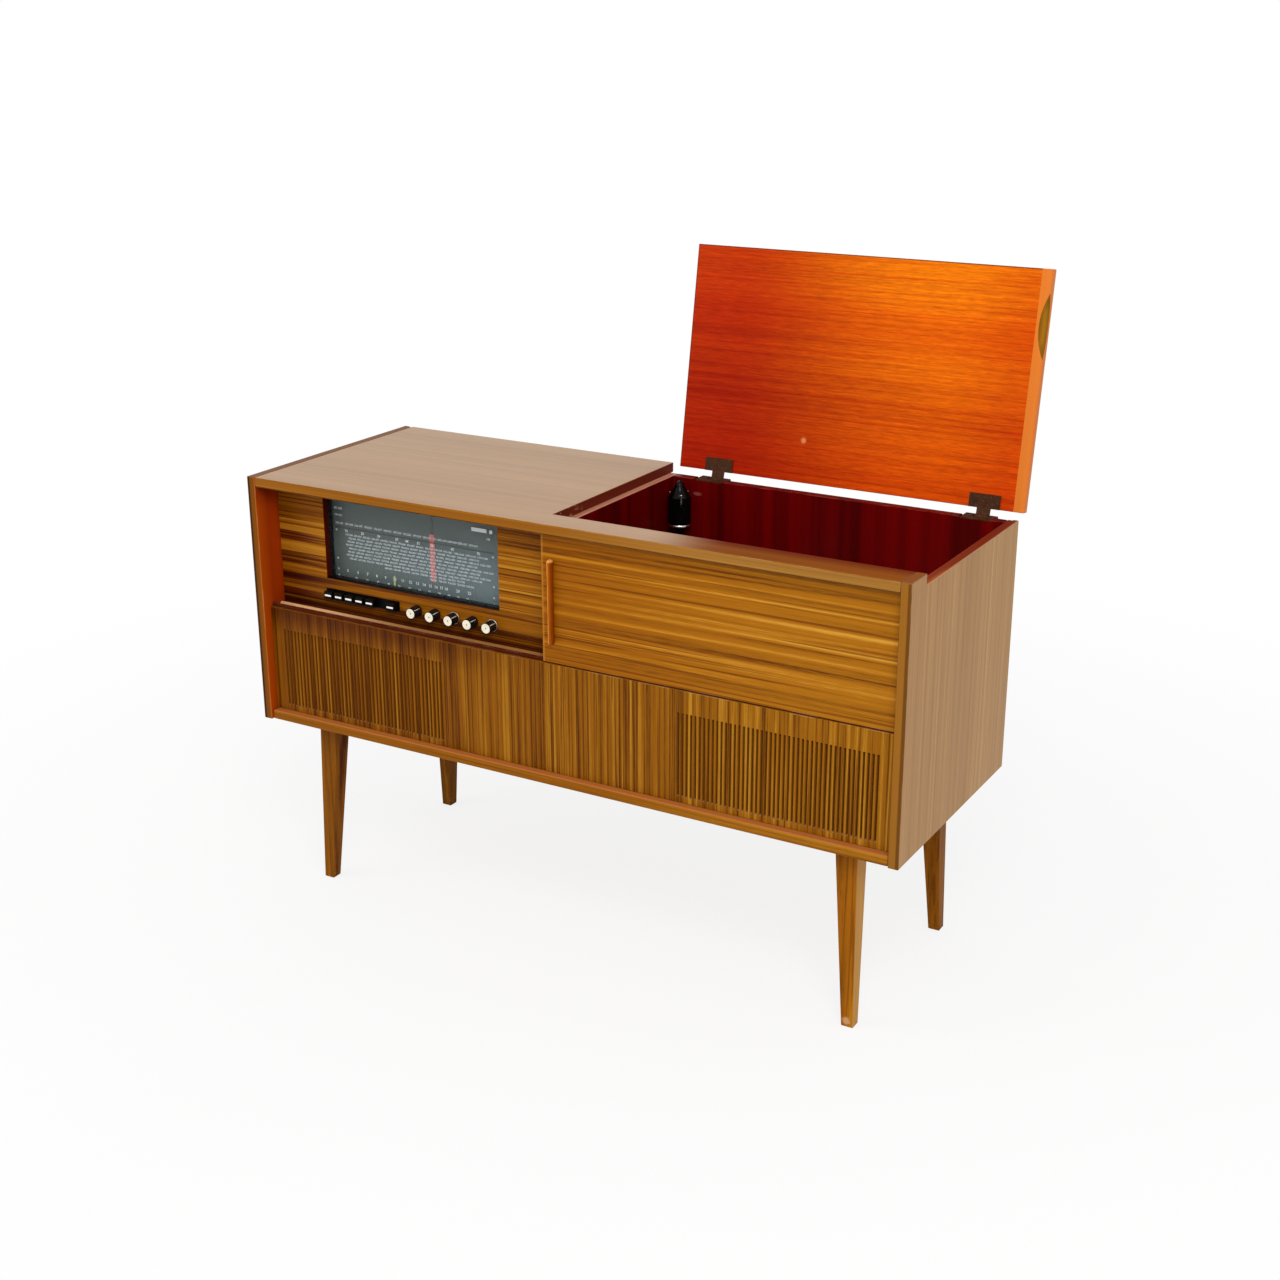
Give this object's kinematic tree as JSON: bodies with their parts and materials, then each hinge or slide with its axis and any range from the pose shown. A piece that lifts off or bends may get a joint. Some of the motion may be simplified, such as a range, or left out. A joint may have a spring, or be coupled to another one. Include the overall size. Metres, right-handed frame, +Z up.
{
  "type": "radio phonograph console",
  "caption": "Long low wooden radio phonograph on tapered legs, with an open record well lid, a sliding door beside the radio dial, and slotted speaker grilles.",
  "frame": {"origin": "on the floor under the middle of the overall box, with the lid open as in the picture", "axes": "+X to the right along the cabinet's length as seen from the front, +Y to the back, +Z up"},
  "size_m": [1.15, 0.5175, 1.0635],
  "materials": {
    "striped_walnut": "satin lacquer over striped walnut veneer",
    "red_mahogany": "satin lacquer",
    "well_mahogany": "dark red stain",
    "teak_trim": "oiled",
    "back_hardboard": "bare hardboard",
    "grille_cloth": "woven",
    "black_plastic": "gloss",
    "dark_bronze": "bronzed",
    "bright_steel": "bright",
    "turned_aluminium": "turned",
    "arm_aluminium": "satin",
    "chassis_zinc": "zinc plated",
    "deck_grey": "enamel",
    "rubber": "matt",
    "dial_glass": "clear",
    "dial_slate": "printed",
    "pointer_red": "matt",
    "pointer_yellow": "matt",
    "rail_nylon": "plain"
  },
  "bodies": {
    "cabinet": {"side_panel_left": "striped_walnut", "side_panel_right": "striped_walnut", "top_board": "striped_walnut", "bottom_board": "striped_walnut", "speaker_baffle": "striped_walnut", "radio_fascia": "striped_walnut", "leg_front_left": "striped_walnut", "leg_front_right": "striped_walnut", "leg_rear_left": "striped_walnut", "leg_rear_right": "striped_walnut", "well_divider": "well_mahogany", "well_rear_wall": "well_mahogany", "well_front_wall": "well_mahogany", "motor_board": "well_mahogany", "shelf_board": "teak_trim", "ledge_strip": "teak_trim", "back_panel": "back_hardboard", "grille_cloth": "grille_cloth", "speaker_left": "chassis_zinc", "speaker_right": "chassis_zinc", "radio_chassis": "chassis_zinc", "power_transformer": "chassis_zinc", "drive_motor": "chassis_zinc", "door_rail_lower": "rail_nylon", "door_rail_upper": "rail_nylon", "dial_bezel": "black_plastic", "key_frame": "black_plastic", "stacking_spindle": "black_plastic", "dial_glass": "dial_glass", "dial_scale": "dial_slate", "body_hinge_leaf_left": "dark_bronze", "body_hinge_leaf_right": "dark_bronze", "hinge_pin_left": "bright_steel", "hinge_pin_right": "bright_steel", "spindle_holder": "bright_steel", "deck_plate": "deck_grey"},
    "lid": {"lid": "red_mahogany", "lid_hinge_leaf_left": "dark_bronze", "lid_hinge_leaf_right": "dark_bronze"},
    "door": {"sliding_door": "striped_walnut", "door_handle": "teak_trim"},
    "mw_pointer": {"mw_pointer": "pointer_red"},
    "fm_pointer": {"fm_pointer": "pointer_yellow"},
    "platter": {"platter": "turned_aluminium", "platter_mat": "rubber"},
    "idler": {"idler_wheel": "rubber"},
    "arm_gimbal": {"tonearm_gimbal": "bright_steel"},
    "arm": {"tonearm": "arm_aluminium"},
    "selector": {"speed_selector": "black_plastic"},
    "volume_knob": {"volume_knob": "black_plastic"},
    "bass_knob": {"bass_knob": "black_plastic"},
    "treble_knob": {"treble_knob": "black_plastic"},
    "fm_tuning_knob": {"fm_tuning_knob": "black_plastic"},
    "mw_tuning_knob": {"mw_tuning_knob": "black_plastic"},
    "key_1": {"key_1": "black_plastic"},
    "key_2": {"key_2": "black_plastic"},
    "key_3": {"key_3": "black_plastic"},
    "key_4": {"key_4": "black_plastic"},
    "key_5": {"key_5": "black_plastic"},
    "key_6": {"key_6": "black_plastic"}
  },
  "joints": [
    {"name": "lid_hinge", "type": "hinge", "parent": "cabinet", "child": "lid", "pos_m": [0.27675, 0.17375, 0.6925], "axis": [1, 0, 0], "range_deg": [0, 99.6]},
    {"name": "door_slide", "type": "slide", "parent": "cabinet", "child": "door", "axis": [1, 0, 0], "range_m": [-0.5384, 0]},
    {"name": "volume_turn", "type": "hinge", "parent": "cabinet", "child": "volume_knob", "pos_m": [-0.2812, -0.20725, 0.5205], "axis": [0, 1, 0], "range_deg": [0, 280]},
    {"name": "bass_turn", "type": "hinge", "parent": "cabinet", "child": "bass_knob", "pos_m": [-0.2449, -0.20725, 0.5205], "axis": [0, 1, 0], "range_deg": [-140, 140]},
    {"name": "treble_turn", "type": "hinge", "parent": "cabinet", "child": "treble_knob", "pos_m": [-0.2086, -0.20725, 0.5205], "axis": [0, 1, 0], "range_deg": [-140, 140]},
    {"name": "fm_tuning_turn", "type": "hinge", "parent": "cabinet", "child": "fm_tuning_knob", "pos_m": [-0.1723, -0.20725, 0.5205], "axis": [0, 1, 0], "range_deg": [-551, 1178]},
    {"name": "mw_tuning_turn", "type": "hinge", "parent": "cabinet", "child": "mw_tuning_knob", "pos_m": [-0.136, -0.20725, 0.5205], "axis": [0, 1, 0], "range_deg": [-1000, 728]},
    {"name": "fm_travel", "type": "slide", "parent": "cabinet", "child": "fm_pointer", "axis": [1, 0, 0], "range_m": [-0.096, 0.2055]},
    {"name": "mw_travel", "type": "slide", "parent": "cabinet", "child": "mw_pointer", "axis": [1, 0, 0], "range_m": [-0.1745, 0.127]},
    {"name": "key_1_press", "type": "slide", "parent": "cabinet", "child": "key_1", "axis": [0, 1, 0], "range_m": [0, 0.005], "stiffness_N_per_m": 300, "springref_m": -0.002},
    {"name": "key_2_press", "type": "slide", "parent": "cabinet", "child": "key_2", "axis": [0, 1, 0], "range_m": [0, 0.005], "stiffness_N_per_m": 300, "springref_m": -0.002},
    {"name": "key_3_press", "type": "slide", "parent": "cabinet", "child": "key_3", "axis": [0, 1, 0], "range_m": [0, 0.005], "stiffness_N_per_m": 300, "springref_m": -0.002},
    {"name": "key_4_press", "type": "slide", "parent": "cabinet", "child": "key_4", "axis": [0, 1, 0], "range_m": [0, 0.005], "stiffness_N_per_m": 300, "springref_m": -0.002},
    {"name": "key_5_press", "type": "slide", "parent": "cabinet", "child": "key_5", "axis": [0, 1, 0], "range_m": [0, 0.005], "stiffness_N_per_m": 300, "springref_m": -0.002},
    {"name": "key_6_press", "type": "slide", "parent": "cabinet", "child": "key_6", "axis": [0, 1, 0], "range_m": [0, 0.005], "stiffness_N_per_m": 300, "springref_m": -0.002},
    {"name": "platter_spin", "type": "hinge", "parent": "cabinet", "child": "platter", "pos_m": [0.3205, -0.0313, 0.5813], "axis": [0, 0, 1], "continuous": true},
    {"name": "idler_spin", "type": "hinge", "parent": "cabinet", "child": "idler", "pos_m": [0.26314, 0.04518, 0.5843], "axis": [0, 0, 1], "continuous": true},
    {"name": "arm_swing", "type": "hinge", "parent": "cabinet", "child": "arm_gimbal", "pos_m": [0.491, 0.0662, 0.6183], "axis": [0, 0, 1], "range_deg": [-43, 0]},
    {"name": "arm_lift", "type": "hinge", "parent": "arm_gimbal", "child": "arm", "pos_m": [0.491, 0.0662, 0.6183], "axis": [-1, 0, 0], "range_deg": [0, 12]},
    {"name": "selector_turn", "type": "hinge", "parent": "cabinet", "child": "selector", "pos_m": [0.213, -0.1388, 0.5786], "axis": [0, 0, 1], "range_deg": [-45, 45]}
  ],
  "couplings": [
    {"joint": "fm_tuning_turn", "follows": "fm_travel", "rad_per_m": 100},
    {"joint": "mw_tuning_turn", "follows": "mw_travel", "rad_per_m": 100},
    {"joint": "idler_spin", "follows": "platter_spin", "ratio": 5.3636}
  ]
}
